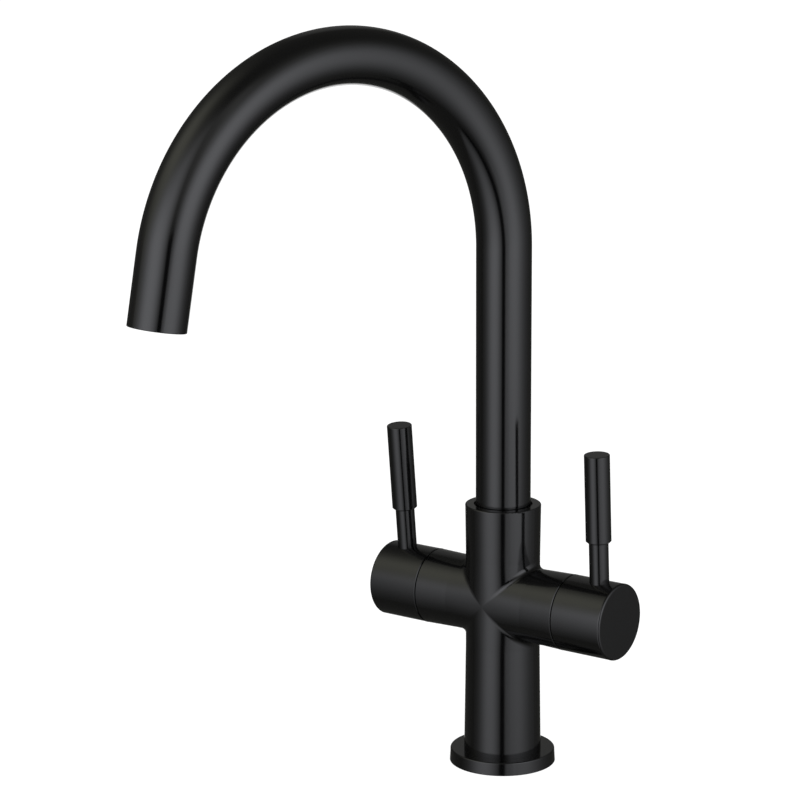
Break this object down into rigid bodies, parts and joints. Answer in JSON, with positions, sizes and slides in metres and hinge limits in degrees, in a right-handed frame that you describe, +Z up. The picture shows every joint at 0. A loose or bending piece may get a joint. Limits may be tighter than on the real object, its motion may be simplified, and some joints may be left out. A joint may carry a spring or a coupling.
{
  "type": "two-handle vessel faucet",
  "caption": "Tall vessel faucet in satin black: round column, a side arm with an upright pin lever each way, and a swivelling gooseneck spout.",
  "frame": {"origin": "centre of the underside, on the column's axis, in the plane that meets the worktop", "axes": "+Z up the column; X along the arms, with the hot handle on -X and the cold one on +X; the user stands at -Y, and the spout points there but for 14.6 degrees towards -X"},
  "size_m": [0.132, 0.2256, 0.3573],
  "materials": {
    "black_finish": "satin",
    "brass": "satin",
    "rubber": "matte",
    "sliding_plastic": "satin",
    "aerator_plastic": "satin",
    "ceramic": "polished",
    "spring_steel": "satin",
    "screw_steel": "satin"
  },
  "bodies": {
    "body": {"body_casting": "black_finish", "base_ring": "black_finish", "base_gasket": "rubber", "spout_glide_ring": "sliding_plastic", "collar_bush": "sliding_plastic", "spout_lock_screw": "screw_steel", "left_seat_seal": "rubber", "left_fixed_disc": "ceramic", "left_headwork_body": "brass", "left_headwork_o_ring": "rubber", "left_seam_ring": "sliding_plastic", "right_seat_seal": "rubber", "right_fixed_disc": "ceramic", "right_headwork_body": "brass", "right_headwork_o_ring": "rubber", "right_seam_ring": "sliding_plastic"},
    "spout": {"spout_tube": "black_finish", "spout_spigot": "brass", "spout_o_rings": "rubber", "outlet_insert": "brass", "aerator_seal": "rubber", "aerator_housing": "aerator_plastic", "aerator_grid": "aerator_plastic", "aerator_strainer": "aerator_plastic"},
    "left_handle": {"left_moving_disc": "ceramic", "left_spindle": "brass", "left_spindle_o_rings": "rubber", "left_spindle_clip": "spring_steel", "left_spline_bush": "sliding_plastic", "left_hub": "black_finish", "left_lever_stem": "black_finish", "left_lever_grip": "black_finish", "left_hub_screw": "screw_steel"},
    "right_handle": {"right_moving_disc": "ceramic", "right_spindle": "brass", "right_spindle_o_rings": "rubber", "right_spindle_clip": "spring_steel", "right_spline_bush": "sliding_plastic", "right_hub": "black_finish", "right_lever_stem": "black_finish", "right_lever_grip": "black_finish", "right_hub_screw": "screw_steel"}
  },
  "joints": [
    {"name": "spout_swivel", "type": "hinge", "parent": "body", "child": "spout", "pos_m": [0, 0, 0.1], "axis": [0, 0, 1], "continuous": true},
    {"name": "left_handle_turn", "type": "hinge", "parent": "body", "child": "left_handle", "pos_m": [-0.055, 0, 0.0799], "axis": [1, 0, 0], "range_deg": [0, 90]},
    {"name": "right_handle_turn", "type": "hinge", "parent": "body", "child": "right_handle", "pos_m": [0.055, 0, 0.0799], "axis": [1, 0, 0], "range_deg": [0, 90]}
  ]
}
